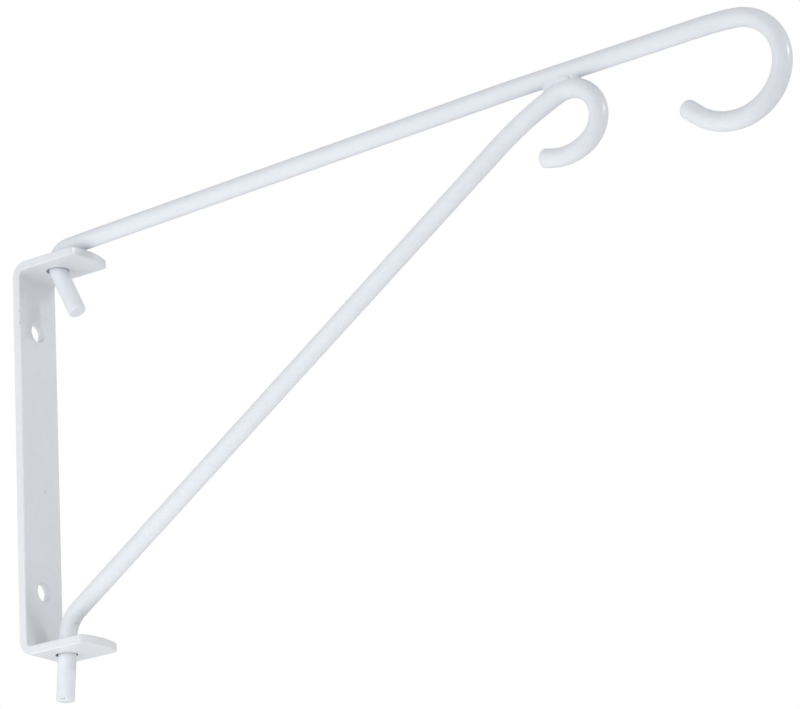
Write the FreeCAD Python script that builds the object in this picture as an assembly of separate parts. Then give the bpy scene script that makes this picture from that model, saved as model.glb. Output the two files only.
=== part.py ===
import FreeCAD, Part
import math
import os

# Swivel bracket for a hanging plant: a bent plate screws to the wall, and a hooked arm with a brace
# swings in the plate's two ears. Millimetres and degrees. The origin is on the wall, at the middle of
# the plate's back: +X leaves the wall and +Z is up. The arm and the brace lie in the plane y = 0.

# Wall plate, one length of flat bar bent into a U
bar_width = 25.0
bar_thickness = 4.0
plate_height = 181.0  # over the outside of both ears
plate_bend_radius = 2.7  # inside of the bend between plate and ear
ear_reach = 34.0  # wall to an ear's two corners
ear_bow = 2.4  # how far an ear's rounded end stands past its corners
ear_corner_radius = 1.2
edge_radius = 0.5  # coated edges of the bar
hole_edge_radius = 0.25  # coated rims of its holes
screw_hole_diameter = 8.8
screw_hole_spacing = 120.0
swing_axis_distance = 16.0  # wall to the line that the arm swings about

# Round rod, of the arm and the brace alike
rod_diameter = 8.0
rod_end_radius = 1.0  # rounding of a cut end
pin_clearance = 0.3  # rod to the wall of its hole in an ear
lead_radius = 145.0  # gentle curve of a rod before its hook

# Upper arm
arm_lift = 1.81  # upper ear to the arm's underside, on the swing line
arm_rise = 1.6  # slope from the plate out towards the weld
arm_droop = 1.09  # how far the weld has drawn the outer arm down again
arm_droop_lead = 29.0  # from the droop out to the weld
arm_droop_radius = 200.0
arm_bend_radius = 7.0
upper_pin_lean = 25.3  # from upright, with the pin's end further from the wall
upper_pin_crossing = 0.9  # ear's underside up to where the pin's middle crosses the swing line
upper_pin_length = 25.8  # from that crossing to the pin's end
weld_reach = 269.4  # swing line to the weld, over the small hook's crown
hook_spacing = 75.6  # weld out to the large hook's centre
hook_lead_turn = 6.3
hook_radius = 21.4  # to the rod's middle, as every bend here
hook_turn = 171.2
hook_tip_radius = 25.9  # the hook opens out towards its end
hook_tip_turn = 46.0
hook_tip_run = 7.4

# Brace strut
weld_sink = 0.3  # how far the weld has set the crown into the arm
lower_pin_lean = 4.75  # from upright, with the pin's end nearer the wall
lower_pin_crossing = 4.0  # lower ear's underside down to where the pin's middle crosses the swing line
lower_pin_drop = 20.4  # lower ear's underside to the pin's end
strut_corner_height = 11.2  # lower ear's top to where the pin's line meets the strut's
strut_bend_radius = 14.0
small_lead_turn = 13.2
small_hook_radius = 13.75
small_hook_turn = 173.3
small_tip_radius = 22.2
small_tip_turn = 42.0
small_tip_run = 5.0

# Weld beads, one in the groove on each side of the crown, with a tail that thins out along the strut
bead_radius = 1.35
bead_length = 5.4  # end to end, without its tail
bead_offset = 2.9  # bead's middle to the plane of the rods
tail_radius = 0.7
tail_reach = 6.7  # crown back to the tail's end
tail_drop = 2.0  # bead's middle down to the tail's end
tail_offset = 2.2  # tail's end to the plane of the rods

rod_radius = rod_diameter / 2
ear_top = plate_height / 2
upper_ear_underside = ear_top - bar_thickness
lower_ear_underside = -ear_top
lower_ear_top = bar_thickness - ear_top
same_place = 0.01  # points closer than this are one point


def direction(heading):
    """Unit vector in the plane of the rods; heading 0 points away from the wall and 90 points up."""
    angle = math.radians(heading)
    return FreeCAD.Vector(math.cos(angle), 0, math.sin(angle))


def crossing(point_a, heading_a, point_b, heading_b):
    """Where two lines in the plane of the rods meet."""
    a = direction(heading_a)
    b = direction(heading_b)
    gap = point_b - point_a
    return point_a + a * ((gap.x * b.z - gap.z * b.x) / (a.x * b.z - a.z * b.x))


def setback(radius, turn):
    """Length of a corner's run that a bend takes up."""
    return radius * math.tan(math.radians(abs(turn)) / 2)


def lead_in(radius, turn):
    """Run of the lead curve before a hook, and how far the hook's centre lies off the rod's line."""
    angle = math.radians(turn)
    return (lead_radius - radius) * math.sin(angle), lead_radius - (lead_radius - radius) * math.cos(angle)


def off_swing_line(reach, height):
    """Point in the plane of the rods, at a distance out from the swing line."""
    return FreeCAD.Vector(swing_axis_distance + reach, 0, height)


def bent_rod(start, start_heading, moves):
    """A rod from start: each move is a straight run, ("run", length), or a bend, ("bend", radius, turn)."""
    edges = []
    place = start
    heading = start_heading
    for move in moves:
        if move[0] == "run":
            end = place + direction(heading) * move[1]
            edges.append(Part.LineSegment(place, end).toShape())
        else:
            radius, turn = move[1:]
            side = math.copysign(90, turn)
            centre = place + direction(heading + side) * radius
            middle = centre - direction(heading + side + turn / 2) * radius
            end = centre - direction(heading + side + turn) * radius
            edges.append(Part.Arc(place, middle, end).toShape())
            heading += turn
        place = end
    section = Part.Wire(Part.makeCircle(rod_radius, start, direction(start_heading)))
    rod = Part.Wire(edges).makePipeShell([section], True, False)
    rims = [edge for edge in rod.Edges if is_rim(edge, start) or is_rim(edge, place)]
    return rod.makeFillet(min(rod_end_radius, rod_radius / 2), rims)


def is_rim(edge, end):
    """Whether an edge is the round rim of a rod's cut end."""
    return (edge.CenterOfMass - end).Length < same_place


def arm_axis():
    """Where the arm's middle line crosses the swing line."""
    return off_swing_line(0, ear_top + arm_lift + rod_radius)


def arm_knee():
    """Where the arm's middle line turns down a little, just before the weld."""
    return crossing(off_swing_line(weld_reach - arm_droop_lead, 0), 90, arm_axis(), arm_rise)


def above(reach):
    """Point of the outer arm's middle line over a distance out from the swing line."""
    return crossing(off_swing_line(reach, 0), 90, arm_knee(), arm_rise - arm_droop)


def support_arm():
    """Pin through the upper ear, tight bend, long arm that droops a little at the weld, and large hook."""
    pin_heading = 90 + upper_pin_lean
    pin_crossing = off_swing_line(0, upper_ear_underside + upper_pin_crossing)
    pin_end = pin_crossing - direction(pin_heading) * upper_pin_length
    corner = crossing(pin_crossing, pin_heading, arm_axis(), arm_rise)
    bend = arm_rise - pin_heading
    bend_setback = setback(arm_bend_radius, bend)
    droop_setback = setback(arm_droop_radius, arm_droop)
    lead_run = lead_in(hook_radius, hook_lead_turn)[0]
    return bent_rod(pin_end, pin_heading, [
        ("run", (corner - pin_end).Length - bend_setback),
        ("bend", arm_bend_radius, bend),
        ("run", (arm_knee() - corner).Length - bend_setback - droop_setback),
        ("bend", arm_droop_radius, -arm_droop),
        ("run", (above(weld_reach + hook_spacing) - arm_knee()).Length - droop_setback - lead_run),
        ("bend", lead_radius, -hook_lead_turn),
        ("bend", hook_radius, -hook_turn),
        ("bend", hook_tip_radius, -hook_tip_turn),
        ("run", hook_tip_run),
    ])


def small_hook_centre():
    """Centre of the hook whose crown lies under the arm at the weld."""
    return above(weld_reach) - direction(90) * (rod_diameter - weld_sink + small_hook_radius)


def brace_strut():
    """Pin through the lower ear, bend, straight run up to the arm, and small hook under the weld."""
    pin_heading = 90 - lower_pin_lean
    pin_crossing = off_swing_line(0, lower_ear_underside - lower_pin_crossing)
    pin_end = crossing(pin_crossing, pin_heading, off_swing_line(0, lower_ear_underside - lower_pin_drop), 0)
    corner = crossing(pin_crossing, pin_heading, off_swing_line(0, lower_ear_top + strut_corner_height), 0)
    reach = small_hook_centre() - corner
    lead_run, offset = lead_in(small_hook_radius, small_lead_turn)
    slope = math.degrees(math.atan2(reach.z, reach.x) + math.asin(offset / reach.Length))
    straight = math.sqrt(reach.Length ** 2 - offset ** 2) - lead_run
    bend = slope - pin_heading
    bend_setback = setback(strut_bend_radius, bend)
    return bent_rod(pin_end, pin_heading, [
        ("run", (corner - pin_end).Length - bend_setback),
        ("bend", strut_bend_radius, bend),
        ("run", straight - bend_setback),
        ("bend", lead_radius, -small_lead_turn),
        ("bend", small_hook_radius, -small_hook_turn),
        ("bend", small_tip_radius, -small_tip_turn),
        ("run", small_tip_run),
    ])


def weld_bead(side, arm, strut):
    """Round-ended bead in the groove between arm and crown; side is 1 towards +Y and -1 towards -Y."""
    groove = above(weld_reach) - direction(90) * (rod_radius - weld_sink / 2)
    middle = groove + FreeCAD.Vector(0, side * bead_offset, 0)
    half_run = bead_length / 2 - bead_radius
    along = direction(arm_rise - arm_droop)
    inner_end = middle - along * half_run
    tail_end = groove + FreeCAD.Vector(-tail_reach, side * tail_offset, -tail_drop)
    tail = tail_end - inner_end
    bead = Part.makeCylinder(bead_radius, 2 * half_run, inner_end, along)
    bead = bead.fuse(Part.makeSphere(bead_radius, middle + along * half_run))
    bead = bead.fuse(Part.makeSphere(bead_radius, inner_end))
    bead = bead.fuse(Part.makeCone(bead_radius, tail_radius, tail.Length, inner_end, tail))
    bead = bead.fuse(Part.makeSphere(tail_radius, tail_end))
    return max(bead.cut(arm).cut(strut).Solids, key=lambda solid: solid.Volume)


def pin_hole_radius(arm, strut):
    """Both pin holes clear the rod that leans or bends inside the thickness of its ear."""
    reach = 0.0
    for rod, underside in ((arm, upper_ear_underside), (strut, lower_ear_underside)):
        corner = off_swing_line(-2 * rod_diameter, underside) - FreeCAD.Vector(0, rod_diameter, 0)
        slab = Part.makeBox(4 * rod_diameter, 2 * rod_diameter, bar_thickness, corner)
        box = rod.common(slab).optimalBoundingBox(False)
        reach = max(reach, box.XMax - swing_axis_distance, swing_axis_distance - box.XMin)
    return reach + pin_clearance


def wall_plate(hole_radius):
    """Flat bar bent into a U: a back with two screw holes and two ears with rounded ends and pin holes."""
    half_width = bar_width / 2
    tip = ear_reach + ear_bow
    inner_height = plate_height - 2 * bar_thickness
    inner_corner = FreeCAD.Vector(bar_thickness, -half_width, lower_ear_top)
    outer = Part.makeBox(tip, bar_width, plate_height, FreeCAD.Vector(0, -half_width, -ear_top))
    inner = Part.makeBox(tip, bar_width, inner_height, inner_corner)
    outer = outer.makeFillet(plate_bend_radius + bar_thickness, bend_edges(outer, 0))
    inner = inner.makeFillet(plate_bend_radius, bend_edges(inner, bar_thickness))
    corners = [FreeCAD.Vector(ear_reach, y, -ear_top) for y in (-half_width, half_width)]
    back = [FreeCAD.Vector(0, y, -ear_top) for y in (-half_width, half_width)]
    outline = Part.Wire([
        Part.LineSegment(back[0], corners[0]).toShape(),
        Part.Arc(corners[0], FreeCAD.Vector(tip, 0, -ear_top), corners[1]).toShape(),
        Part.LineSegment(corners[1], back[1]).toShape(),
        Part.LineSegment(back[1], back[0]).toShape(),
    ])
    plan = Part.Face(outline).extrude(FreeCAD.Vector(0, 0, plate_height))
    ear_corners = [edge for edge in plan.Edges if is_upright(edge) and edge.CenterOfMass.x > ear_reach / 2]
    plan = plan.makeFillet(ear_corner_radius, ear_corners)
    plate = outer.cut(inner).common(plan)
    rims = [edge for edge in plate.Edges if on_outline(edge) and not is_upright(edge)]
    plate = plate.makeFillet(min(edge_radius, ear_corner_radius / 2), rims)
    screw_radius = screw_hole_diameter / 2
    for side in (-1, 1):
        screw_place = FreeCAD.Vector(0, 0, side * screw_hole_spacing / 2)
        plate = plate.cut(Part.makeCylinder(screw_radius, bar_thickness, screw_place, direction(0)))
    plate = plate.cut(Part.makeCylinder(hole_radius, plate_height, off_swing_line(0, -ear_top)))
    holes = [edge for edge in plate.Edges if is_round(edge, screw_radius) or is_round(edge, hole_radius)]
    return plate.makeFillet(min(hole_edge_radius, bar_thickness / 4), holes)


def bend_edges(box, x):
    """The two edges of a box that run across the bar at a distance from the wall."""
    across = [edge for edge in box.Edges if edge.BoundBox.YLength > bar_width / 2]
    return [edge for edge in across if abs(edge.CenterOfMass.x - x) < same_place]


def on_outline(edge):
    """Whether an edge runs along the bar's sides or round an ear's end."""
    return abs(edge.CenterOfMass.y) > bar_width / 4 or edge.CenterOfMass.x > ear_reach


def is_round(edge, radius):
    """Whether an edge is a full circle of a radius."""
    return edge.isClosed() and abs(edge.Length - 2 * math.pi * radius) < same_place


def is_upright(edge):
    return edge.BoundBox.ZLength > max(edge.BoundBox.XLength, edge.BoundBox.YLength)


os.makedirs("parts", exist_ok=True)
arm = support_arm()
strut = brace_strut().cut(arm)
shapes = {
    "wall_plate": wall_plate(pin_hole_radius(arm, strut)),
    "support_arm": arm,
    "brace_strut": strut,
    "weld_bead_right": weld_bead(-1, arm, strut),
    "weld_bead_left": weld_bead(1, arm, strut),
}
for node, shape in shapes.items():
    print(node, len(shape.Solids), "solid", "volume %.1f mm3" % shape.Volume, "valid", shape.isValid())
    shape.exportStep(f"parts/{node}.step")
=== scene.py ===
import math

import bmesh
import bpy
from bpy.props import FloatProperty, FloatVectorProperty, PointerProperty
from mathutils import Matrix, Vector, noise
from mathutils.geometry import delaunay_2d_cdt


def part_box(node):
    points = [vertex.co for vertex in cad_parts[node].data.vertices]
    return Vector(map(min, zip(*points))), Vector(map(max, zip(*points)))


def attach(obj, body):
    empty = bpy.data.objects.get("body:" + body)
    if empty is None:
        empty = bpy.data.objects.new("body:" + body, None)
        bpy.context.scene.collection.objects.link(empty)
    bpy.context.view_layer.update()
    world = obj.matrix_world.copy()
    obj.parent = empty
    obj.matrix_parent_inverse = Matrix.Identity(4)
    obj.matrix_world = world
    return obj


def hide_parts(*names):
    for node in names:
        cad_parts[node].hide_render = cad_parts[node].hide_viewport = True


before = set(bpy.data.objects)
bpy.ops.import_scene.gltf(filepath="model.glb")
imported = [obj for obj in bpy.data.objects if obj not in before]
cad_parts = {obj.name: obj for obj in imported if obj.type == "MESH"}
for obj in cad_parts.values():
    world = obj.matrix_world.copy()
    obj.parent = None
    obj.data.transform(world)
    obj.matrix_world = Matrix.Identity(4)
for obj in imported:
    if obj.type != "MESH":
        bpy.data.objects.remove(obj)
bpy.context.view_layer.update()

bl_info = {
    "name": "Swivel plant bracket",
    "version": (1, 0, 0),
    "blender": (4, 5, 0),
    "location": "3D View > Sidebar > Bracket",
    "description": "Bends the bar and rods of a wall bracket, welds, coats and lights them",
    "category": "Object",
}

MM = 0.001

# ---------------------------------------------------------------------------------------------
# Sizes in millimetres and degrees that follow the solid model
# ---------------------------------------------------------------------------------------------

# Flat bar of the wall plate, measured from the wall and from the plate's middle
BAR_WIDTH = 25.0
BAR_THICKNESS = 4.0
PLATE_HEIGHT = 181.0
BEND_INSIDE = 2.7
EAR_REACH = 34.0
EAR_BOW = 2.4
UPPER_EAR_CORNER = 1.3
LOWER_EAR_CORNER = 2.2
SCREW_HEIGHT = 60.0
SWING_REACH = 16.0
SCREW_HOLE_RADIUS = 4.4
UPPER_PIN_HOLE_RADIUS = 5.0
LOWER_PIN_HOLE_RADIUS = 4.75

# Middle lines of the two rods: where the pin ends, the way it heads, then runs and bends
ARM_START = (27.02583, 64.07467)
ARM_HEADING = 115.3
ARM_MOVES = (
    ("run", 24.80934),
    ("bend", 7.0, -113.7),
    ("run", 232.03225),
    ("bend", 200.0, -1.09),
    ("run", 89.13852),
    ("bend", 145.0, -6.3),
    ("bend", 21.4, -171.2),
    ("bend", 25.9, -46.0),
    ("run", 7.4),
)
BRACE_START = (14.63727, -110.9)
BRACE_HEADING = 85.25
BRACE_MOVES = (
    ("run", 28.9444),
    ("bend", 14.0, -51.66913),
    ("run", 273.27271),
    ("bend", 145.0, -13.2),
    ("bend", 13.75, -173.3),
    ("bend", 22.2, -42.0),
    ("run", 5.0),
)

# The photograph's view
VIEW_TARGET = (196.654, 0.0, 2.923)
VIEW_AZIMUTH = 33.1848
VIEW_ELEVATION = -19.0822
VIEW_ROLL = -3.4883
VIEW_DISTANCE = 1313.026
VIEW_LENS = 143.687
VIEW_SENSOR = 36.0


# ---------------------------------------------------------------------------------------------
# Settings
# ---------------------------------------------------------------------------------------------

def arm_thickness():
    """The rod's diameter, read from the solid arm's box across the plane that it is bent in."""
    low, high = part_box("support_arm")
    return high.y - low.y


class BarSettings(bpy.types.PropertyGroup):
    """The flat bar's finish that shows in its shape."""

    edge_rounding: FloatProperty(
        name="Edge Rounding", description="Radius that the coat leaves on the bar's edges",
        default=0.7 * MM, min=0.1 * MM, max=1.2 * MM, precision=5, subtype="DISTANCE", unit="LENGTH")
    hole_rounding: FloatProperty(
        name="Hole Rounding", description="Radius of a hole's rim on the face that shows",
        default=0.3 * MM, min=0.1 * MM, max=1.0 * MM, precision=5, subtype="DISTANCE", unit="LENGTH")
    waviness: FloatProperty(
        name="Waviness", description="How far the bar's faces stray from flat",
        default=0.03 * MM, min=0.0, max=0.2 * MM, precision=6, subtype="DISTANCE", unit="LENGTH")
    nick_depth: FloatProperty(
        name="Nick Depth", description="Depth of the nicks in the bar's near edge",
        default=0.3 * MM, min=0.0, max=0.5 * MM, precision=5, subtype="DISTANCE", unit="LENGTH")


class RodSettings(bpy.types.PropertyGroup):
    """The round rods of the arm and the brace."""

    diameter: FloatProperty(
        name="Diameter", description="Thickness of both rods",
        default=arm_thickness(), min=4 * MM, max=12 * MM, precision=5, subtype="DISTANCE", unit="LENGTH")
    pin_end_rounding: FloatProperty(
        name="Pin End Rounding", description="Rounding of the cut ends that hang in the ears",
        default=1.0 * MM, min=0.2 * MM, max=2 * MM, precision=5, subtype="DISTANCE", unit="LENGTH")
    hook_end_rounding: FloatProperty(
        name="Hook End Rounding", description="Rounding of the hooks' ends",
        default=2.2 * MM, min=0.2 * MM, max=3 * MM, precision=5, subtype="DISTANCE", unit="LENGTH")
    bend_flattening: FloatProperty(
        name="Bend Flattening", description="How much a bend flattens the rod's outer side",
        default=0.1, min=0.0, max=0.3, subtype="FACTOR")
    waviness: FloatProperty(
        name="Waviness", description="How far the rods' surface strays from round",
        default=0.03 * MM, min=0.0, max=0.2 * MM, precision=6, subtype="DISTANCE", unit="LENGTH")


class WeldSettings(bpy.types.PropertyGroup):
    """The two beads that hold the brace to the arm."""

    bead_height: FloatProperty(
        name="Bead Height", description="How far a bead stands out of the fillet under it",
        default=0.65 * MM, min=0.0, max=1.5 * MM, precision=5, subtype="DISTANCE", unit="LENGTH")
    ripple: FloatProperty(
        name="Ripple", description="Height of the ripples along a bead",
        default=0.06 * MM, min=0.0, max=0.3 * MM, precision=6, subtype="DISTANCE", unit="LENGTH")


class CoatSettings(bpy.types.PropertyGroup):
    """White powder coat."""

    plate_colour: FloatVectorProperty(
        name="Plate Colour", description="Coat of the wall plate",
        default=(0.828, 0.856, 0.893), min=0.0, max=1.0, size=3, subtype="COLOR")
    rod_colour: FloatVectorProperty(
        name="Rod Colour", description="Coat of the arm and the brace",
        default=(0.83, 0.862, 0.915), min=0.0, max=1.0, size=3, subtype="COLOR")
    # Colour of dust, nicks and marks, also used for the painted shadows on the plate's face and the painted
    # shade in the beads' creases
    soil_and_shade_colour: FloatVectorProperty(
        name="Soil Colour", description="Dust in creases, nicks and specks",
        default=(0.2, 0.19, 0.185), min=0.0, max=1.0, size=3, subtype="COLOR")
    # Painted shade: near-black colour on the pin holes' walls, where the gaps round the pins lie in shade
    hole_shade_colour: FloatVectorProperty(
        name="Bare Colour", description="Greasy steel where a pin has rubbed the coat off",
        default=(0.06, 0.058, 0.06), min=0.0, max=1.0, size=3, subtype="COLOR")
    roughness: FloatProperty(
        name="Roughness", description="Roughness of the coat",
        default=0.3, min=0.0, max=1.0, subtype="FACTOR")
    mottling: FloatProperty(
        name="Mottling", description="How much the coat's tone varies",
        default=0.05, min=0.0, max=0.5, subtype="FACTOR")
    peel_depth: FloatProperty(
        name="Peel Depth", description="Depth of the coat's orange peel",
        default=0.006 * MM, min=0.0, max=0.1 * MM, precision=6, subtype="DISTANCE", unit="LENGTH")


class StageSettings(bpy.types.PropertyGroup):
    """Floor and lamps."""

    floor_height: FloatProperty(
        name="Floor Height", description="Height of the floor under the plate's middle",
        default=-1.25, min=-3.0, max=-0.5, subtype="DISTANCE", unit="LENGTH")
    floor_colour: FloatVectorProperty(
        name="Floor Colour", description="Pale floor",
        default=(0.94, 0.94, 0.945), min=0.0, max=1.0, size=3, subtype="COLOR")
    ahead_level: FloatProperty(
        name="Ahead", description="Light from the camera's side of the room", default=0.57, min=0.0, max=1.5)
    behind_level: FloatProperty(
        name="Behind", description="Light from the room's far side", default=0.5, min=0.0, max=1.5)
    left_level: FloatProperty(
        name="Left", description="Light from the camera's left", default=0.6, min=0.0, max=1.5)
    right_level: FloatProperty(
        name="Right", description="Light from the camera's right", default=0.74, min=0.0, max=1.5)
    above_level: FloatProperty(
        name="Above", description="Light from the ceiling", default=0.5, min=0.0, max=1.5)
    gloss_share: FloatProperty(
        name="Background in Gloss", description="How much of the white background the coat's gloss shows",
        default=0.12, min=0.0, max=1.0, subtype="FACTOR")
    front_power: FloatProperty(
        name="Front Lamp", description="Large lamp by the camera",
        default=6.0, min=0.0, max=100.0, subtype="POWER", unit="POWER")
    side_power: FloatProperty(
        name="Side Lamp", description="Small lamp off the hooks' side",
        default=4.0, min=0.0, max=100.0, subtype="POWER", unit="POWER")
    low_power: FloatProperty(
        name="Low Lamp", description="Wide lamp under the bracket",
        default=1.85, min=0.0, max=100.0, subtype="POWER", unit="POWER")
    floor_power: FloatProperty(
        name="Floor Lamp", description="Wide lamp that faces the floor",
        default=2.8, min=0.0, max=100.0, subtype="POWER", unit="POWER")


class BracketSettings(bpy.types.PropertyGroup):
    """All that a user would change."""

    bar: PointerProperty(type=BarSettings, name="Bar", description="Flat bar of the wall plate")
    rods: PointerProperty(type=RodSettings, name="Rods", description="Arm and brace")
    welds: PointerProperty(type=WeldSettings, name="Welds", description="Beads between arm and brace")
    coat: PointerProperty(type=CoatSettings, name="Coat", description="Powder coat")
    stage: PointerProperty(type=StageSettings, name="Stage", description="Floor and lamps")


# ---------------------------------------------------------------------------------------------
# Node trees
# ---------------------------------------------------------------------------------------------

class Reading:
    """A number that a node gives, for sums written as Python."""

    def __init__(self, recipe, socket):
        self.recipe = recipe
        self.socket = socket

    def worked(self, operation, first, second):
        made = self.recipe.node("ShaderNodeMath", {"operation": operation}, {0: first, 1: second})
        return Reading(self.recipe, made.outputs[0])

    def __add__(self, other):
        return self.worked("ADD", self, other)

    def __radd__(self, other):
        return self.worked("ADD", other, self)

    def __sub__(self, other):
        return self.worked("SUBTRACT", self, other)

    def __rsub__(self, other):
        return self.worked("SUBTRACT", other, self)

    def __mul__(self, other):
        return self.worked("MULTIPLY", self, other)

    def __rmul__(self, other):
        return self.worked("MULTIPLY", other, self)

    def __truediv__(self, other):
        return self.worked("DIVIDE", self, other)

    def __rtruediv__(self, other):
        return self.worked("DIVIDE", other, self)

    def __abs__(self):
        return self.worked("ABSOLUTE", self, 0.0)

    def least(self, other):
        return self.worked("MINIMUM", self, other)

    def most(self, other):
        return self.worked("MAXIMUM", self, other)

    def rise(self, low, high):
        """0 up to low, 1 from high, and smooth between; falls instead where low lies above high."""
        made = self.recipe.node(
            "ShaderNodeMapRange", {"interpolation_type": "SMOOTHSTEP"},
            {"Value": self, "From Min": min(low, high), "From Max": max(low, high),
             "To Min": float(low > high), "To Max": float(low < high)})
        return Reading(self.recipe, made.outputs["Result"])


# Places of the colours among all the sockets of a Mix node
MIX_FIRST, MIX_SECOND, MIX_RESULT = 6, 7, 2


class Recipe:
    """One node tree, in which every node comes from node()."""

    def __init__(self, tree):
        self.tree = tree
        tree.nodes.clear()

    def node(self, kind, settings=None, sockets=None):
        made = self.tree.nodes.new(kind)
        for name, value in (settings or {}).items():
            setattr(made, name, value)
        for key, value in (sockets or {}).items():
            value = value.socket if isinstance(value, Reading) else value
            if isinstance(value, bpy.types.NodeSocket):
                self.tree.links.new(value, made.inputs[key])
            else:
                made.inputs[key].default_value = value
        return made

    def place(self):
        """The point on the piece, in metres, which rides with the piece."""
        return self.node("ShaderNodeTexCoord").outputs["Object"]

    def across(self, place):
        """The point's three coordinates."""
        split = self.node("ShaderNodeSeparateXYZ", None, {0: place})
        return [Reading(self, socket) for socket in split.outputs]

    def cloud(self, place, size, detail=2.0):
        """Soft noise about nought, with lumps of a size in millimetres."""
        made = self.node("ShaderNodeTexNoise", None,
                         {"Vector": place, "Scale": 1 / (size * MM), "Detail": detail, "Roughness": 0.5})
        return Reading(self, made.outputs[0]) - 0.5

    def distance(self, place, point):
        """How far a point in millimetres is, in metres."""
        made = self.node("ShaderNodeVectorMath", {"operation": "DISTANCE"},
                         {0: place, 1: Vector(point) * MM})
        return Reading(self, made.outputs["Value"])

    def lean(self, way, axis):
        """How far a way leans along an axis, from -1 to 1."""
        made = self.node("ShaderNodeVectorMath", {"operation": "DOT_PRODUCT"}, {0: way, 1: axis})
        return Reading(self, made.outputs["Value"])

    def mixed(self, share, first, second):
        """A colour between two, by a share."""
        made = self.node("ShaderNodeMix", {"data_type": "RGBA"},
                         {0: share, MIX_FIRST: paint(first), MIX_SECOND: paint(second)})
        return made.outputs[MIX_RESULT]


def paint(colour):
    """A colour with its alpha, or the socket that it comes from."""
    return colour if isinstance(colour, bpy.types.NodeSocket) else (*colour, 1.0)


# Coat: sizes in millimetres of its broad drift of tone, its mottling, its orange peel and its grain
DRIFT, MOTTLE, PEEL, GRAIN = 34.0, 3.2, 1.5, 0.35
# Its darkest tone, as a share of its colour
DARK_TONE = (0.80, 0.80, 0.79)
# Its specks of dust: millimetres between their places, the share of places that hold one, and how dark it is
SPECK_SPACING, SPECK_SHARE, SPECK_DARKNESS = 17.0, 0.12, 0.2
# Where a speck ends and where it is full, as shares of the spacing
SPECK_RIM, SPECK_CORE = 0.035, 0.012
# The full middle of a mark, as a share of its radius
MARK_CORE = 0.45
# Its gloss: a clear skin over the pigment
COAT_IOR, SKIN_WEIGHT, SKIN_ROUGHNESS = 1.45, 0.4, 0.22


def spots(recipe, place, marks):
    """Share of the surface within soft round marks: each is a point and a radius in millimetres."""
    cover = None
    for point, radius in marks:
        mark = recipe.distance(place, point).rise(radius * MM, MARK_CORE * radius * MM)
        cover = mark if cover is None else cover.most(mark)
    return cover


def dust(recipe, place, size, share):
    """Share of the surface that sparse specks take up, one to some cells of a size in millimetres."""
    cells = recipe.node("ShaderNodeTexVoronoi", {"feature": "F1"},
                        {"Vector": place, "Scale": 1 / (size * MM), "Randomness": 1.0})
    near = Reading(recipe, cells.outputs["Distance"]).rise(SPECK_RIM, SPECK_CORE)
    draw = recipe.node("ShaderNodeSeparateColor", None, {0: cells.outputs["Color"]})
    return near * Reading(recipe, draw.outputs[0]).rise(1 - share, 1 - share + 0.01)


def powder_coat(name, colour, coat, soil_and_shade=None, painted_hole_shade=None):
    """White coat: soft mottling, orange peel, dust specks, and where given soiled places, painted shadows and
    painted shade.

    The two optional functions take the recipe and the place, and give a share of the surface: the first for
    soil and painted shadows, the second for painted shade.
    """
    material = bpy.data.materials.new(name)
    material.use_nodes = True
    recipe = Recipe(material.node_tree)
    place = recipe.place()
    drift = recipe.cloud(place, DRIFT, 1.0)
    mottle = recipe.cloud(place, MOTTLE, 3.0)
    peel = recipe.cloud(place, PEEL)
    grain = recipe.cloud(place, GRAIN)

    shade = tuple(channel * tint for channel, tint in zip(colour, DARK_TONE))
    tone = (0.5 + drift * 0.9 + mottle * 1.3 + grain * 0.5).rise(0.0, 1.0)
    colour_now = recipe.mixed(tone * coat.mottling * 4.0, colour, shade)
    soiled_and_shaded = dust(recipe, place, SPECK_SPACING, SPECK_SHARE) * SPECK_DARKNESS
    # Soil from the piece, with the painted shadows and painted shade that it holds
    if soil_and_shade:
        soiled_and_shaded = soiled_and_shaded.most(soil_and_shade(recipe, place))
    colour_now = recipe.mixed(soiled_and_shaded, colour_now, coat.soil_and_shade_colour)
    rough = coat.roughness + mottle * 0.10 + grain * 0.08 + soiled_and_shaded * 0.3
    # Painted shade on the pin holes' walls
    if painted_hole_shade:
        painted_shade = painted_hole_shade(recipe, place)
        colour_now = recipe.mixed(painted_shade, colour_now, coat.hole_shade_colour)
        rough = rough + painted_shade * 0.15
    height = peel + grain * 0.25 - soiled_and_shaded * 1.5
    bump = recipe.node("ShaderNodeBump", None,
                       {"Strength": 1.0, "Distance": coat.peel_depth, "Height": height})
    shader = recipe.node("ShaderNodeBsdfPrincipled", None, {
        "Base Color": colour_now, "Roughness": rough, "Normal": bump.outputs[0], "IOR": COAT_IOR,
        "Coat Weight": SKIN_WEIGHT, "Coat Roughness": SKIN_ROUGHNESS})
    recipe.node("ShaderNodeOutputMaterial", None, {"Surface": shader.outputs[0]})
    return material


# ---------------------------------------------------------------------------------------------
# Wall plate
# ---------------------------------------------------------------------------------------------

# The bar laid flat, by the length of its middle: where a bend starts and where an ear does
FLAT_HALF = PLATE_HEIGHT / 2 - BEND_INSIDE - BAR_THICKNESS
BEND_MIDDLE = BEND_INSIDE + BAR_THICKNESS / 2
BEND_OUTSIDE = BEND_INSIDE + BAR_THICKNESS
EAR_START = FLAT_HALF + BEND_MIDDLE * math.pi / 2

# Steps along it: on the flat, where its near edge is nicked, in a bend and in an ear
FLAT_STEP, NICK_STEP, BEND_STEP, EAR_STEP = 2.4, 0.5, 0.55, 1.6
# Where the nicked stretch starts and ends
NICKED_FROM, NICKED_TO = 57, 71
# Turns in radians between the points of an ear's corner and of its bowed end, and points round a hole
CORNER_TURN, BOW_TURN, HOLE_SIDES = 0.16, 0.05, 56
# Steps over a rounded edge and over a hole's rim
EDGE_STEPS, RIM_STEPS = 5, 3
# Points inside a face: how far from its edges and from the holes' rims they keep, and how far apart they are
EDGE_MARGIN, RIM_MARGIN, FACE_STEP = 1.6, 0.8, 2.0
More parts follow.
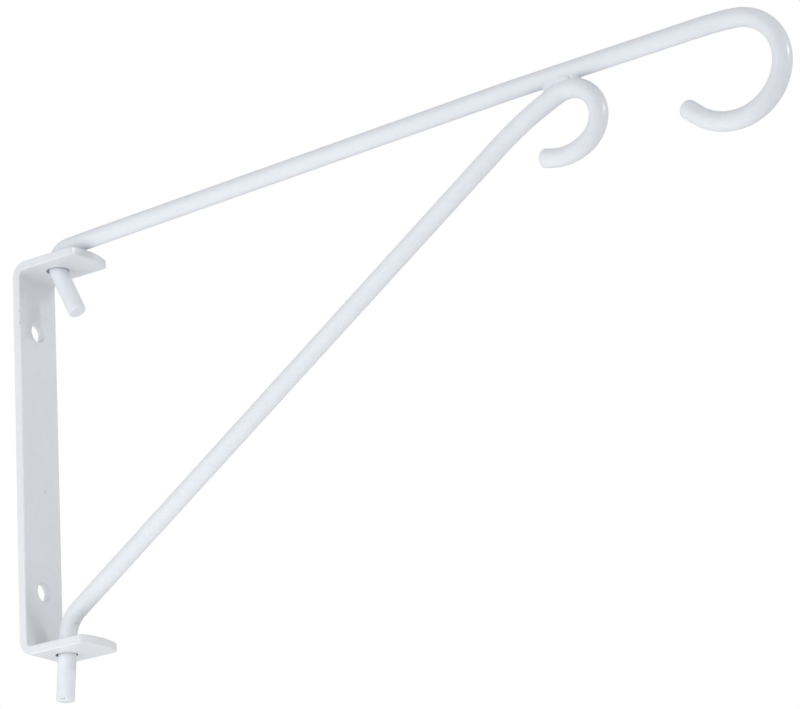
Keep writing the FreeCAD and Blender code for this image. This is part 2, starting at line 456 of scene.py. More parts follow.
# Length of the bar's waves along its faces, and through its thickness
FACE_WAVE, DEPTH_WAVE = 16, 40

# Nicks in the near edge: how far along, how wide, and the share of the full depth
NICKS = ((68.4, 0.5, 0.35), (66.2, 0.35, 0.25), (64.6, 0.6, 0.35), (62.0, 0.6, 1.0), (60.3, 0.4, 0.4))
# How far round the edge a nick reaches, and the shares of its depth in the inner face and in the side
NICK_REACH, NICK_IN_FACE, NICK_IN_SIDE = 1.5, 0.6, 0.8


def bar_point(along, side, depth):
    """Point of the bent bar in millimetres.

    It is given by its way along the bar from the plate's middle, across the bar, and in from its outer face.
    """
    up = math.copysign(1, along)
    along = abs(along)
    if along <= FLAT_HALF:
        return Vector((depth, side, up * along))
    if along < EAR_START:
        turn = (along - FLAT_HALF) / BEND_MIDDLE
        radius = BEND_OUTSIDE - depth
        height = FLAT_HALF + radius * math.sin(turn)
        return Vector((BEND_OUTSIDE - radius * math.cos(turn), side, up * height))
    return Vector((BEND_OUTSIDE + along - EAR_START, side, up * (PLATE_HEIGHT / 2 - depth)))


def spread(low, high, step):
    """Even stops from low to high, both included, no further apart than step."""
    count = max(1, math.ceil((high - low) / step - 1e-6))
    return [low + (high - low) * k / count for k in range(count + 1)]


def bar_stops():
    """Stops along half the bar, closer in the bend and where the edge is nicked."""
    stops = spread(0, NICKED_FROM, FLAT_STEP)
    ear_end = EAR_START + EAR_REACH - BEND_OUTSIDE - LOWER_EAR_CORNER * 1.1
    for low, high, step in ((NICKED_FROM, NICKED_TO, NICK_STEP), (NICKED_TO, FLAT_HALF, FLAT_STEP),
                            (FLAT_HALF, EAR_START, BEND_STEP), (EAR_START, ear_end, EAR_STEP)):
        stops += spread(low, high, step)[1:]
    return stops


def half_outline(corner):
    """Outline of the bar's upper half laid flat, from one side round the ear's bowed end to the other.

    Each point comes with the way that leads into the bar.
    """
    half = BAR_WIDTH / 2
    bow_radius = (half ** 2 + EAR_BOW ** 2) / (2 * EAR_BOW)
    centre = EAR_START + EAR_REACH + EAR_BOW - BEND_INSIDE - BAR_THICKNESS - bow_radius
    corner_side = half - corner
    corner_along = centre + math.sqrt((bow_radius - corner) ** 2 - corner_side ** 2)
    reach = math.atan2(corner_side, corner_along - centre)
    left = [(stop, half, 0.0, -1.0) for stop in bar_stops()]
    for angle in spread(0, math.pi / 2 - reach, CORNER_TURN):
        way = math.pi / 2 - angle
        left.append((corner_along + corner * math.cos(way), corner_side + corner * math.sin(way),
                     -math.cos(way), -math.sin(way)))
    for angle in spread(-reach, 0, BOW_TURN)[1:]:
        left.append((centre + bow_radius * math.cos(angle), -bow_radius * math.sin(angle),
                     -math.cos(angle), math.sin(angle)))
    right = [(a, -s, na, -ns) for a, s, na, ns in reversed(left[:-1])]
    return left + right


def bar_outline():
    """Closed outline of the bar laid flat."""
    lower = half_outline(LOWER_EAR_CORNER)[1:-1]
    return half_outline(UPPER_EAR_CORNER) + [(-a, s, -na, ns) for a, s, na, ns in reversed(lower)]


# Holes in the bar laid flat: along it, across it, radius, and the share of the rim's rounding that shows
PIN_ALONG = EAR_START + SWING_REACH - BEND_INSIDE - BAR_THICKNESS
HOLES = (
    (SCREW_HEIGHT, 0.0, SCREW_HOLE_RADIUS, 0.9),
    (-SCREW_HEIGHT, 0.35, SCREW_HOLE_RADIUS, 0.45),
    (PIN_ALONG, 0.0, UPPER_PIN_HOLE_RADIUS, 0.9),
    (-PIN_ALONG, 0.0, LOWER_PIN_HOLE_RADIUS, 0.9),
)


def hole_outline(along, side, radius):
    """Rim of a hole in the bar laid flat."""
    rim = []
    for k in range(HOLE_SIDES):
        angle = 2 * math.pi * k / HOLE_SIDES
        way = (math.cos(angle), math.sin(angle))
        rim.append((along + radius * way[0], side + radius * way[1], *way))
    return rim


def rounding(radius, steps):
    """Steps of a rounded edge: how far in from the rim, and how far below the face."""
    turns = [math.pi / 2 * k / steps for k in range(steps + 1)]
    return [(radius * (1 - math.cos(turn)), radius * (1 - math.sin(turn))) for turn in turns]


def nicked(along, side, depth, nick_depth):
    """How far the near edge of the inner face has been knocked back there."""
    edge = math.hypot(side + BAR_WIDTH / 2, depth - BAR_THICKNESS)
    if edge > NICK_REACH:
        return 0.0
    cut = max(share * math.exp(-((along - place) / width) ** 2) for place, width, share in NICKS)
    return nick_depth * cut * (1 - edge / NICK_REACH)


def wall_plate_mesh(bar):
    """The bar's two faces with rounded edges and rims, filled between them, and the walls that join them."""
    rim = bar.hole_rounding / MM
    loops = [(bar_outline(), bar.edge_rounding / MM, EDGE_STEPS)]
    for along, side, radius, share in HOLES:
        loops.append((hole_outline(along, side, radius), rim * share, RIM_STEPS))
    stops = bar_stops()
    rows = [-stop for stop in reversed(stops[1:])] + stops
    columns = spread(-BAR_WIDTH / 2 + EDGE_MARGIN, BAR_WIDTH / 2 - EDGE_MARGIN, FACE_STEP)

    def clear(along, side):
        return all(math.hypot(along - a, side - s) > radius + rim + RIM_MARGIN for a, s, radius, _ in HOLES)

    grid = [(row, column) for row in rows for column in columns if clear(row, column)]
    work = bmesh.new()

    def corner(along, side, depth):
        swell = noise.noise(Vector((along / FACE_WAVE, side / FACE_WAVE, depth / DEPTH_WAVE)))
        sway = (swell - 1) * bar.waviness / MM
        knock = nicked(along, side, depth, bar.nick_depth / MM)
        point = bar_point(along, side, depth - sway - knock * NICK_IN_FACE)
        point.y += knock * NICK_IN_SIDE
        return work.verts.new(point * MM)

    rims = {}
    for face in (0, 1):
        inner = []
        for number, (loop, radius, steps) in enumerate(loops):
            rings = []
            for inset, sunk in rounding(radius, steps):
                depth = BAR_THICKNESS - sunk if face else sunk
                rings.append([corner(a + na * inset, s + ns * inset, depth) for a, s, na, ns in loop])
            for ring, following in zip(rings, rings[1:]):
                stitch(work, ring, following)
            rims[face, number] = rings[0]
            flat = [(a + na * radius, s + ns * radius) for a, s, na, ns in loop]
            inner.append(list(zip(flat, rings[-1])))
        points = [Vector(point) for ring in inner for point, _ in ring]
        points += [Vector(point) for point in grid]
        corners = [vert for ring in inner for _, vert in ring]
        depth = BAR_THICKNESS if face else 0.0
        corners += [corner(a, s, depth) for a, s in grid]
        owners = [number for number, ring in enumerate(inner) for _ in ring] + [0] * len(grid)
        edges = []
        first = 0
        for ring in inner:
            edges += [(first + k, first + (k + 1) % len(ring)) for k in range(len(ring))]
            first += len(ring)
        _, _, faces, origins, _, _ = delaunay_2d_cdt(points, edges, [], 1, 1e-5)
        for triangle in faces:
            picked = [origins[k][0] for k in triangle]
            rims_met = {owners[k] for k in picked}
            if len(rims_met) > 1 or 0 in rims_met:
                work.faces.new([corners[k] for k in picked])
    for number in range(len(loops)):
        stitch(work, rims[0, number], rims[1, number])
    bmesh.ops.recalc_face_normals(work, faces=work.faces)
    return finished(work, "bent_wall_plate")


def stitch(work, ring, following):
    """Quads between two closed rings of as many corners."""
    count = len(ring)
    for k in range(count):
        work.faces.new((ring[k], ring[(k + 1) % count], following[(k + 1) % count], following[k]))


def finished(work, name):
    """A smooth mesh from a worked one."""
    mesh = bpy.data.meshes.new(name)
    for face in work.faces:
        face.smooth = True
    work.to_mesh(mesh)
    work.free()
    return mesh


def piece(name, mesh, body, slot, material, *nodes):
    """A new piece of the bracket that stands for solid nodes and rides on a body."""
    made = bpy.data.objects.new(name, mesh)
    bpy.context.scene.collection.objects.link(made)
    made.data.materials.append(material)
    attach(made, body)
    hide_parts(*nodes)
    return made


# Marks on the plate, in millimetres: points and radii
PLATE_SPECKS = (((4, 5.9, 68.0), 0.5), ((2.0, -12.5, 55.6), 0.4),
                ((4, 2.5, -13.7), 0.6), ((34.7, -4.7, -90.5), 0.4))
PLATE_NICK = (((3.7, -12.3, 62.0), 0.55),)
# Painted shadows on the plate's face, at their darkest points: the brace's above the lower ear, and the upper
# pin's above the upper screw hole
PLATE_BRACE_SHADOW = (4, 0.9, -82.0)
PLATE_PIN_SHADOW = (4, 1.1, 68.0)
# Heights between which the plate ends and an ear begins, and how dark each ear's pin hole is painted as shade
EAR_FROM, EAR_WHOLLY = 80, 84
UPPER_HOLE_SHADE, LOWER_HOLE_SHADE = 0.3, 0.85


def plate_soil_and_shadows(recipe, place):
    """Specks in the plate's coat, its worn near edge, patchy darkening in its bends, and painted shadows of
    the brace and of the upper pin's end on its face.
    """
    specks = spots(recipe, place, PLATE_SPECKS) * 0.3
    nick = spots(recipe, place, PLATE_NICK) * 0.35
    x, y, z = recipe.across(place)
    edge = x.rise(3.1 * MM, 3.6 * MM) * y.rise(-11.8 * MM, -12.2 * MM)
    worn = edge * z.rise(59 * MM, 62 * MM) * z.rise(70 * MM, 67 * MM)
    worn = worn * recipe.cloud(place, 1.5, 3.0).rise(-0.05, 0.1)
    patchy = 0.65 + recipe.cloud(place, 5.0, 3.0)
    # Patchy darkening in the plate's bends
    bend = (x.rise(9 * MM, 4.5 * MM) * abs(z).rise(80 * MM, 86 * MM)) * patchy * 0.05
    # Painted shadow of the brace on the plate's face
    painted_shade = recipe.distance(place, PLATE_BRACE_SHADOW).rise(5 * MM, 1 * MM) * 0.07
    # Painted shadow of the upper pin's end on the plate's face
    pin_shadow = recipe.distance(place, PLATE_PIN_SHADOW).rise(8 * MM, 1 * MM) * 0.05
    return specks.most(nick).most(worn * 0.2).most(bend).most(painted_shade).most(pin_shadow)


def plate_hole_shade(recipe, place):
    """Walls of the pin holes, painted dark as the shade in the gaps round the pins."""
    _, _, z = recipe.across(place)
    level = recipe.node("ShaderNodeVectorMath", {"operation": "MULTIPLY"}, {0: place, 1: (1, 1, 0)})
    out = recipe.distance(level.outputs[0], (SWING_REACH, 0, 0))
    upper = out.rise((UPPER_PIN_HOLE_RADIUS + 0.1) * MM, UPPER_PIN_HOLE_RADIUS * MM)
    lower = out.rise((LOWER_PIN_HOLE_RADIUS + 0.1) * MM, LOWER_PIN_HOLE_RADIUS * MM)
    upper = upper * z.rise(EAR_FROM * MM, EAR_WHOLLY * MM)
    lower = lower * z.rise(-EAR_FROM * MM, -EAR_WHOLLY * MM)
    return (upper * UPPER_HOLE_SHADE).most(lower * LOWER_HOLE_SHADE)


class BRACKET_OT_wall_plate(bpy.types.Operator):
    """Bends the flat bar of the wall plate, with its screw holes and pin holes, and coats it"""

    bl_idname = "bracket.wall_plate"
    bl_label = "Wall Plate"

    def execute(self, context):
        settings = context.scene.bracket
        # The plate's coat: soil with painted shadows on its face, and painted shade in its pin holes
        coat = powder_coat("plate_powder_coat", settings.coat.plate_colour, settings.coat,
                           plate_soil_and_shadows, plate_hole_shade)
        made = piece("bent_wall_plate", wall_plate_mesh(settings.bar),
                     "plate", "plate_coat", coat, "wall_plate")
        made.modifiers.new("flat faces", "WEIGHTED_NORMAL").keep_sharp = True
        return {"FINISHED"}


# ---------------------------------------------------------------------------------------------
# Rods
# ---------------------------------------------------------------------------------------------

ROD_SIDES = 44
# Steps along a rod on its runs, and in bends tighter than a curvature
RUN_STEP, ARC_STEP, TIGHT = 3.0, 1.1, 0.02
# How far to both sides of a bend's ends the rod eases into it
BEND_EASE = 5.0
# The most that a bend's tightness counts for, and the share of the flattening on its inner side
TIGHTEST, INNER_FLATTENING = 0.6, 0.35
# Length of the waves in the rods' coat
ROD_WAVE = 9
# How far a rod's cut end is crowned, the rings on its face as shares of the radius, and the turn of its edge
END_CROWN, END_RINGS, END_TURN = 0.12, (0.3, 0.6, 0.85), math.pi / 12
# Least room between a rounded end and the first ring along the rod
END_ROOM = 0.4

# Where a rod is thickest, from 0 to 1 along it, over what share of its length, and by how much
ARM_SWELLING = (0.92, 0.055, 0.035)
BRACE_SWELLING = (0.86, 0.05, 0.045)
# Dents: places, widths and depths in millimetres
ARM_DENTS = ()
BRACE_DENTS = (((22.6, -0.6, -77.8), 1.1, 0.3),)

# Marks on the rods, in millimetres: points and radii
ARM_SPECKS = (((120, -3.5, 101.2), 0.35), ((236, -3.7, 100.5), 0.3), ((386.4, -1.0, 70.5), 0.5))
BRACE_SCRATCH = tuple(((x, y, -110.15), 0.36)
                      for x, y in ((15.4, -3.95), (15.8, -3.8), (16.5, -3.5), (16.9, -3.25)))
BRACE_DENT_MARK = (((22.3, -1.3, -77.9), 0.7), ((22.5, -0.6, -77.8), 0.75), ((22.7, 0.2, -77.7), 0.8))
BRACE_SPECK = (((150, -3.4, -7.0), 0.3),)


def rod_line(start, heading, moves):
    """Stations along a rod's middle line: how far along, place, heading in radians, and curvature."""
    place = Vector((start[0], 0, start[1]))
    heading = math.radians(heading)
    along = 0.0
    stations = [(along, place.copy(), heading, 0.0)]
    for move in moves:
        turn = math.radians(move[2]) if move[0] == "bend" else 0.0
        length = abs(turn) * move[1] if turn else move[1]
        bend = turn / length
        count = math.ceil(length / (ARC_STEP if abs(bend) > TIGHT else RUN_STEP))
        step = length / count
        for _ in range(count):
            middle = heading + bend * step / 2
            chord = step if not bend else 2 * math.sin(abs(bend) * step / 2) / abs(bend)
            place = place + Vector((math.cos(middle), 0, math.sin(middle))) * chord
            heading += bend * step
            along += step
            stations.append((along, place.copy(), heading, bend))
    return stations


def eased(stations, reach):
    """Curvature at each station, averaged over a reach to both sides."""
    result = []
    for along, *_ in stations:
        near = [(bend, 1 - abs(a - along) / reach) for a, _, _, bend in stations if abs(a - along) < reach]
        result.append(sum(b * w for b, w in near) / sum(w for _, w in near))
    return result


def rod_end(radius, edge):
    """Rings of a cut and rounded end, from its middle out: how far in from the tip, and the ring's radius."""
    rings = [(END_CROWN * share ** 2, (radius - edge) * share) for share in END_RINGS]
    for turn in spread(0, math.pi / 2, END_TURN):
        rings.append((END_CROWN + edge * (1 - math.cos(turn)), radius - edge + edge * math.sin(turn)))
    return rings


def rod_mesh(name, stations, rods, dents, swelling):
    """A rod swept along its stations: rounded ends, flattened bends, dents, a swelling and an uneven coat."""
    radius = rods.diameter / 2 / MM
    total = stations[-1][0]
    pin = rods.pin_end_rounding / MM
    hook = rods.hook_end_rounding / MM
    bends = eased(stations, BEND_EASE)
    thickest, spread_out, most = swelling
    work = bmesh.new()

    def ring(length, size):
        place, heading, bend = along_at(length)
        ahead = Vector((math.cos(heading), 0, math.sin(heading)))
        out = Vector((-ahead.z, 0, ahead.x))
        tight = min(abs(bend) * radius, TIGHTEST)
        made = []
        for k in range(ROD_SIDES):
            angle = 2 * math.pi * k / ROD_SIDES
            outer = math.cos(angle) * bend < 0
            flat = 1 - rods.bend_flattening * tight * (1.0 if outer else INNER_FLATTENING)
            offset = out * (math.cos(angle) * size * flat) + Vector((0, math.sin(angle) * size, 0))
            point = place + offset
            way = offset.normalized()
            sway = noise.noise(point / ROD_WAVE) * rods.waviness / MM
            for dent, width, depth in dents:
                sway -= depth * math.exp(-((point - Vector(dent)).length / width) ** 2)
            made.append(work.verts.new((point + way * sway * min(1, size)) * MM))
        return made

    def along_at(length):
        """Place, heading and curvature at a length, from the station just before."""
        index = max(k for k, station in enumerate(stations) if station[0] <= length + 1e-9)
        at, place, heading, _ = stations[index]
        ahead = Vector((math.cos(heading), 0, math.sin(heading)))
        return place + ahead * (length - at), heading, bends[index]

    rings = [ring(sunk, size) for sunk, size in rod_end(radius, pin)]
    for along, *_ in stations:
        if pin + END_ROOM < along < total - hook - END_ROOM:
            thicker = most * math.exp(-((along / total - thickest) / spread_out) ** 2)
            rings.append(ring(along, radius * (1 + thicker)))
    rings += [ring(total - sunk, size) for sunk, size in reversed(rod_end(radius, hook))]
    for first, following in zip(rings, rings[1:]):
        stitch(work, first, following)
    for end, length in ((rings[0], 0.0), (rings[-1], total)):
        tip = work.verts.new(along_at(length)[0] * MM)
        for k in range(ROD_SIDES):
            work.faces.new((end[k], end[(k + 1) % ROD_SIDES], tip))
    bmesh.ops.recalc_face_normals(work, faces=work.faces)
    return finished(work, name)


def arm_soil(recipe, place):
    """Specks on the arm."""
    return spots(recipe, place, ARM_SPECKS) * 0.2


def brace_soil(recipe, place):
    """A scratch close to the lower pin's end, a grey mark on the dent in the bend above it, and a speck."""
    scratch = spots(recipe, place, BRACE_SCRATCH) * 0.6
    dent_mark = spots(recipe, place, BRACE_DENT_MARK) * 0.22
    return scratch.most(dent_mark).most(spots(recipe, place, BRACE_SPECK) * 0.2)


class BRACKET_OT_rods(bpy.types.Operator):
    """Bends the arm and the brace from round rod, with their pins and hooks, and coats them"""

    bl_idname = "bracket.rods"
    bl_label = "Arm and Brace"

    def execute(self, context):
        rods, coat = context.scene.bracket.rods, context.scene.bracket.coat
        arm = rod_line(ARM_START, ARM_HEADING, ARM_MOVES)
        brace = rod_line(BRACE_START, BRACE_HEADING, BRACE_MOVES)
        arm_coat = powder_coat("arm_powder_coat", coat.rod_colour, coat, arm_soil)
        brace_coat = powder_coat("brace_powder_coat", coat.rod_colour, coat, brace_soil)
        piece("hooked_arm", rod_mesh("hooked_arm", arm, rods, ARM_DENTS, ARM_SWELLING),
              "arm", "rod_coat", arm_coat, "support_arm")
        piece("hooked_brace", rod_mesh("hooked_brace", brace, rods, BRACE_DENTS, BRACE_SWELLING),
              "arm", "rod_coat", brace_coat, "brace_strut")
        return {"FINISHED"}


# ---------------------------------------------------------------------------------------------
# Welds
# ---------------------------------------------------------------------------------------------

# How far a fillet's face stands out from the rods' plane, in millimetres, at distances from the wall
THROAT = ((274.4, 0.12), (275.4, 0.7), (277.0, 1.35), (279.0, 1.85), (281.5, 2.35), (283.5, 2.7),
          (285.5, 2.75), (287.5, 2.6), (288.8, 2.4), (290.0, 2.05), (291.0, 1.45), (291.7, 0.7),
          (292.2, 0.12))
# Where the bead on it starts and ends, its ripples, two to a wave, and the side's share in their phase
BEAD_ENDS, RIPPLES, RIPPLE_SHIFT = (282.3, 288.2), 9, 0.8
# Steps along the fillet and over its face
WELD_STEP, FACE_STEPS = 0.2, 18
# How far the face stays out of the rods where they cross, and how far up and down the back is sunk in them
LEAST_COVER, BACK_SINK = 0.25, 0.8
# The arm over the joint: its span from the wall, and a height that only this run of it is above
ARM_SPAN, ARM_ABOVE = (260, 310), 100
# The brace's crown under it: its span from the wall, and its steepest heading down, in radians
CROWN_SPAN, CROWN_STEEPEST = (262, 300), -0.9

# Marks on the beads, in millimetres: points and radii; a pinhole at each bead's start and painted shade in
# the creases at its end
BEAD_MARKS = (((282.4, -3.7, 99.5), 0.5), ((287.9, -3.4, 99.7), 0.8), ((288.2, -2.9, 99.4), 0.7),
              ((282.4, 3.7, 99.5), 0.4), ((287.9, 3.4, 99.6), 0.7))


def between(stops, value):
    """Value on a line through stops, with the ends held."""
    if value <= stops[0][0]:
        return stops[0][1]
    for (low, first), (high, second) in zip(stops, stops[1:]):
        if value <= high:
            return first + (second - first) * (value - low) / (high - low)
    return stops[-1][1]


# Largest radius tried for a fillet's face, and how often the range is halved
WIDEST_FILLET, HALVINGS = 40.0, 60


def fillet_circle(drop, upper, lower, throat):
    """Circle that touches two rods one above the other, so far out that a throat is left behind it.

    Heights are from the lower rod's middle. Gives the circle's radius, and its middle's way out and height.
    """
    low, high = 0.0, WIDEST_FILLET
    for _ in range(HALVINGS):
        radius = (low + high) / 2
        height = (drop ** 2 - (upper - lower) * (upper + lower + 2 * radius)) / (2 * drop)
        out = math.sqrt(max((lower + radius) ** 2 - height ** 2, 0.0))
        if out - radius > throat:
            high = radius
        else:
            low = radius
    return radius, out, height


def bead_mesh(name, side, arm, brace, radius, welds):
    """A solid fillet of weld along one side of the joint, with a concave face and a rippled bead on it."""
    work = bmesh.new()
    arm_line = [(place.x, place.z) for _, place, _, _ in arm
                if ARM_SPAN[0] < place.x < ARM_SPAN[1] and place.z > ARM_ABOVE]
    crown = [(place.x, place.z, heading) for _, place, heading, _ in brace
             if CROWN_SPAN[0] < place.x < CROWN_SPAN[1] and heading > CROWN_STEEPEST]
    crown_line = [(x, z) for x, z, _ in crown]
    crown_size = [(x, radius * (0.5 + 0.5 / math.cos(heading))) for x, _, heading in crown]
    rings = []
    for x in spread(THROAT[0][0], THROAT[-1][0], WELD_STEP):
        base = between(crown_line, x)
        drop = between(arm_line, x) - base
        crossing = math.sqrt(max(radius ** 2 - drop ** 2 / 4, 0))
        throat = max(between(THROAT, x), crossing + LEAST_COVER)
        size, out, height = fillet_circle(drop, radius, between(crown_size, x), throat)
        first = math.atan2(drop - height, -out)
        last = math.atan2(-height, -out) % (2 * math.pi)
        share = (x - BEAD_ENDS[0]) / (BEAD_ENDS[1] - BEAD_ENDS[0])
        crest = math.sin(math.pi * min(1, max(0, share))) ** 0.35
        wave = welds.ripple / MM * math.sin(share * RIPPLES * math.pi + RIPPLE_SHIFT * side)
        points = []
        for k in range(FACE_STEPS + 1):
            turn = first + (last - first) * k / FACE_STEPS
            bulge = (welds.bead_height / MM + wave) * crest * math.sin(math.pi * k / FACE_STEPS) ** 2
            points.append((out + size * math.cos(turn) + bulge, height + size * math.sin(turn)))
        points = [(0.0, points[0][1] + BACK_SINK)] + points + [(0.0, points[-1][1] - BACK_SINK)]
        rings.append([work.verts.new(Vector((x, side * y, base + z)) * MM) for y, z in points])
    for ring, following in zip(rings, rings[1:]):
        stitch(work, ring, following)
    work.faces.new(rings[0])
    work.faces.new(rings[-1])
    bmesh.ops.recalc_face_normals(work, faces=work.faces)
    return finished(work, name)


def bead_pinholes_and_shade(recipe, place):
    """A pinhole at each bead's start, and painted shade in the creases at its end."""
    return spots(recipe, place, BEAD_MARKS) * 0.12


class BRACKET_OT_welds(bpy.types.Operator):
    """Lays the two weld beads between the arm and the brace's crown, and coats them"""

    bl_idname = "bracket.welds"
    bl_label = "Weld Beads"

    def execute(self, context):
        settings = context.scene.bracket
        coat = powder_coat("weld_powder_coat", settings.coat.rod_colour, settings.coat, bead_pinholes_and_shade)
        arm = rod_line(ARM_START, ARM_HEADING, ARM_MOVES)
        brace = rod_line(BRACE_START, BRACE_HEADING, BRACE_MOVES)
        radius = settings.rods.diameter / 2 / MM
        for name, side, node in (("near_weld_bead", -1, "weld_bead_right"),
                                 ("far_weld_bead", 1, "weld_bead_left")):
            mesh = bead_mesh(name, side, arm, brace, radius, settings.welds)
            piece(name, mesh, "arm", "weld_coat", coat, node)
        return {"FINISHED"}


# ---------------------------------------------------------------------------------------------
# Stage
# ---------------------------------------------------------------------------------------------

# What the lamps face: the plate's middle, and the middle of the arm's reach
PLATE_AIM = Vector((0, 0, 0))
HOOK_AIM = Vector((190 * MM, 0, 0))
# The sky's strength where its level is taken as full
SKY_BRIGHTEST = 2.0
# Tints of the lamps
COOL = (0.95, 0.975, 1.0)
WARM = (1.0, 0.985, 0.97)
# Floor: its radius in metres, the points round it, the size of its clouds in millimetres and their shade
FLOOR_RADIUS, FLOOR_SIDES, FLOOR_CLOUD, FLOOR_SHADE = 30.0, 96, 900.0, 0.985


def towards(azimuth, elevation):
    """Unit vector out from the bracket: azimuth 0 is -Y and 90 is +X."""
    a = math.radians(azimuth)
    e = math.radians(elevation)
    return Vector((math.sin(a) * math.cos(e), -math.cos(a) * math.cos(e), math.sin(e)))


def soft_lamp(name, aim, azimuth, elevation, distance, width, height, power, tint=(1.0, 1.0, 1.0)):
    """Oval lamp that faces a point of the bracket."""
    lamp = bpy.data.lights.new(name, "AREA")
    lamp.shape = "ELLIPSE"
    lamp.size = width
    lamp.size_y = height
    lamp.energy = power
    lamp.color = tint
    made = bpy.data.objects.new(name, lamp)
    bpy.context.scene.collection.objects.link(made)
    way = towards(azimuth, elevation)
    made.location = aim + way * distance
    made.rotation_euler = (-way).to_track_quat("-Z", "Y").to_euler()
    made.visible_camera = False
    return made


def pale_floor(stage):
    """Wide floor, pale and matt."""
    work = bmesh.new()
    bmesh.ops.create_circle(work, cap_ends=True, segments=FLOOR_SIDES, radius=FLOOR_RADIUS)
    floor = bpy.data.objects.new("floor", finished(work, "floor"))
    floor.location.z = stage.floor_height
    bpy.context.scene.collection.objects.link(floor)
    material = bpy.data.materials.new("pale_floor")
    material.use_nodes = True
    recipe = Recipe(material.node_tree)
    tone = 0.5 + recipe.cloud(recipe.place(), FLOOR_CLOUD) * 0.6
    shade = tuple(channel * FLOOR_SHADE for channel in stage.floor_colour)
    shader = recipe.node("ShaderNodeBsdfPrincipled", None, {
        "Base Color": recipe.mixed(tone, stage.floor_colour, shade),
        "Roughness": 0.9, "Specular IOR Level": 0.1})
    recipe.node("ShaderNodeOutputMaterial", None, {"Surface": shader.outputs[0]})
    floor.data.materials.append(material)


def studio_sky(stage):
    """Light from five sides of a room, and white where the camera, gloss or glass looks past the stage."""
    world = bpy.data.worlds.new("studio_sky")
    bpy.context.scene.world = world
    world.use_nodes = True
    recipe = Recipe(world.node_tree)
    way = recipe.node("ShaderNodeTexCoord").outputs["Generated"]
    sides = ((towards(VIEW_AZIMUTH, 0), stage.ahead_level, stage.behind_level),
             (towards(VIEW_AZIMUTH + 90, 0), stage.right_level, stage.left_level),
             (Vector((0, 0, 1)), stage.above_level, 0.0))
    level = 0.0
    for axis, near, far in sides:
        lean = recipe.lean(way, axis)
        fore, aft = lean.most(0.0), lean.least(0.0)
        level = level + fore * fore * near + aft * aft * far
    path = recipe.node("ShaderNodeLightPath")
    seen, gloss, glass = [Reading(recipe, path.outputs[ray])
                          for ray in ("Is Camera Ray", "Is Glossy Ray", "Is Transmission Ray")]
    shown = seen.most(gloss * stage.gloss_share).most(glass)
    dark = recipe.node("ShaderNodeBackground", None, {"Color": (1, 1, 1, 1), "Strength": 0.0})
    light = recipe.node("ShaderNodeBackground", None, {"Color": (1, 1, 1, 1), "Strength": SKY_BRIGHTEST})
    white = recipe.node("ShaderNodeBackground", None, {"Color": (1, 1, 1, 1), "Strength": 1.0})
    room = recipe.node("ShaderNodeMixShader", None,
                       {0: level / SKY_BRIGHTEST, 1: dark.outputs[0], 2: light.outputs[0]})
    sky = recipe.node("ShaderNodeMixShader", None, {0: shown, 1: room.outputs[0], 2: white.outputs[0]})
    recipe.node("ShaderNodeOutputWorld", None, {"Surface": sky.outputs[0]})


def photo_camera():
    """Camera at the photograph's place."""
    back = towards(VIEW_AZIMUTH, VIEW_ELEVATION)
    level = Vector((math.cos(math.radians(VIEW_AZIMUTH)), math.sin(math.radians(VIEW_AZIMUTH)), 0))
    upright = back.cross(level)
    roll = math.radians(VIEW_ROLL)
    right = level * math.cos(roll) + upright * math.sin(roll)
    up = upright * math.cos(roll) - level * math.sin(roll)
    lens = bpy.data.cameras.new("photo_view")
    lens.lens = VIEW_LENS
    lens.sensor_width = VIEW_SENSOR
    lens.sensor_fit = "HORIZONTAL"
    lens.clip_start = 0.05
    lens.clip_end = 100.0
    camera = bpy.data.objects.new("photo_view", lens)
    bpy.context.scene.collection.objects.link(camera)
    turn = Matrix((right, up, back)).transposed().to_4x4()
    camera.matrix_world = Matrix.Translation((Vector(VIEW_TARGET) + back * VIEW_DISTANCE) * MM) @ turn
    bpy.context.scene.camera = camera


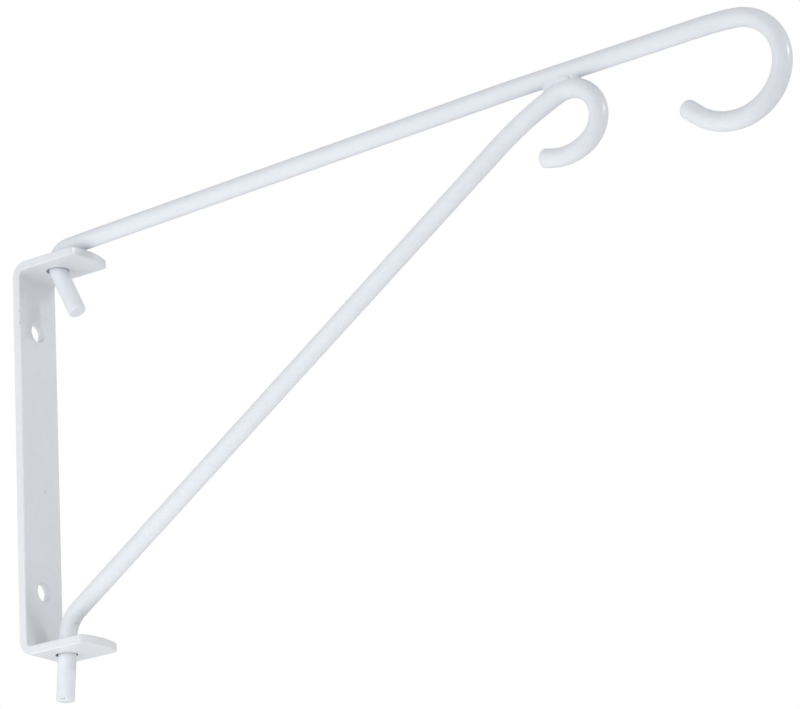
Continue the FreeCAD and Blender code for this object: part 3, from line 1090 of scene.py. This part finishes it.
class BRACKET_OT_stage(bpy.types.Operator):
    """Sets up the floor, the lamps and the camera"""

    bl_idname = "bracket.stage"
    bl_label = "Stage"

    def execute(self, context):
        stage = context.scene.bracket.stage
        pale_floor(stage)
        studio_sky(stage)
        front_lamp = soft_lamp("front_lamp", PLATE_AIM, azimuth=-10, elevation=-8, distance=1.1,
                               width=1.2, height=1.2, power=stage.front_power, tint=COOL)
        low_lamp = soft_lamp("low_lamp", PLATE_AIM, azimuth=0, elevation=-90, distance=0.6,
                             width=1.2, height=1.2, power=stage.low_power, tint=WARM)
        # The coat's gloss shows neither of these wide lamps
        for lamp in (front_lamp, low_lamp):
            lamp.visible_glossy = False
        floor_lamp = soft_lamp("floor_lamp", PLATE_AIM, azimuth=0, elevation=-90, distance=0.3,
                               width=2.4, height=2.4, power=stage.floor_power)
        # Turned over, so that it faces straight down
        floor_lamp.rotation_euler = (0, 0, 0)
        soft_lamp("side_lamp", HOOK_AIM, azimuth=101, elevation=24, distance=1.6,
                  width=0.35, height=0.22, power=stage.side_power)
        photo_camera()
        context.scene.view_settings.view_transform = "Standard"
        return {"FINISHED"}


class BRACKET_PT_sidebar(bpy.types.Panel):
    """The bracket's pieces and its stage"""

    bl_idname = "BRACKET_PT_sidebar"
    bl_label = "Swivel Bracket"
    bl_space_type = "VIEW_3D"
    bl_region_type = "UI"
    bl_category = "Bracket"

    def draw(self, context):
        settings = context.scene.bracket
        for operator, group in (("bracket.wall_plate", settings.bar), ("bracket.rods", settings.rods),
                                ("bracket.welds", settings.welds), (None, settings.coat),
                                ("bracket.stage", settings.stage)):
            box = self.layout.box()
            for name in group.__annotations__:
                box.prop(group, name)
            if operator:
                box.operator(operator)


CLASSES = (
    BarSettings, RodSettings, WeldSettings, CoatSettings, StageSettings, BracketSettings,
    BRACKET_OT_wall_plate, BRACKET_OT_rods, BRACKET_OT_welds, BRACKET_OT_stage, BRACKET_PT_sidebar,
)


def register():
    for kind in CLASSES:
        bpy.utils.register_class(kind)
    bpy.types.Scene.bracket = PointerProperty(type=BracketSettings)


def unregister():
    del bpy.types.Scene.bracket
    for kind in reversed(CLASSES):
        bpy.utils.unregister_class(kind)


def main():
    register()
    bpy.ops.bracket.wall_plate()
    bpy.ops.bracket.rods()
    bpy.ops.bracket.welds()
    bpy.ops.bracket.stage()


if __name__ == "__main__":
    main()
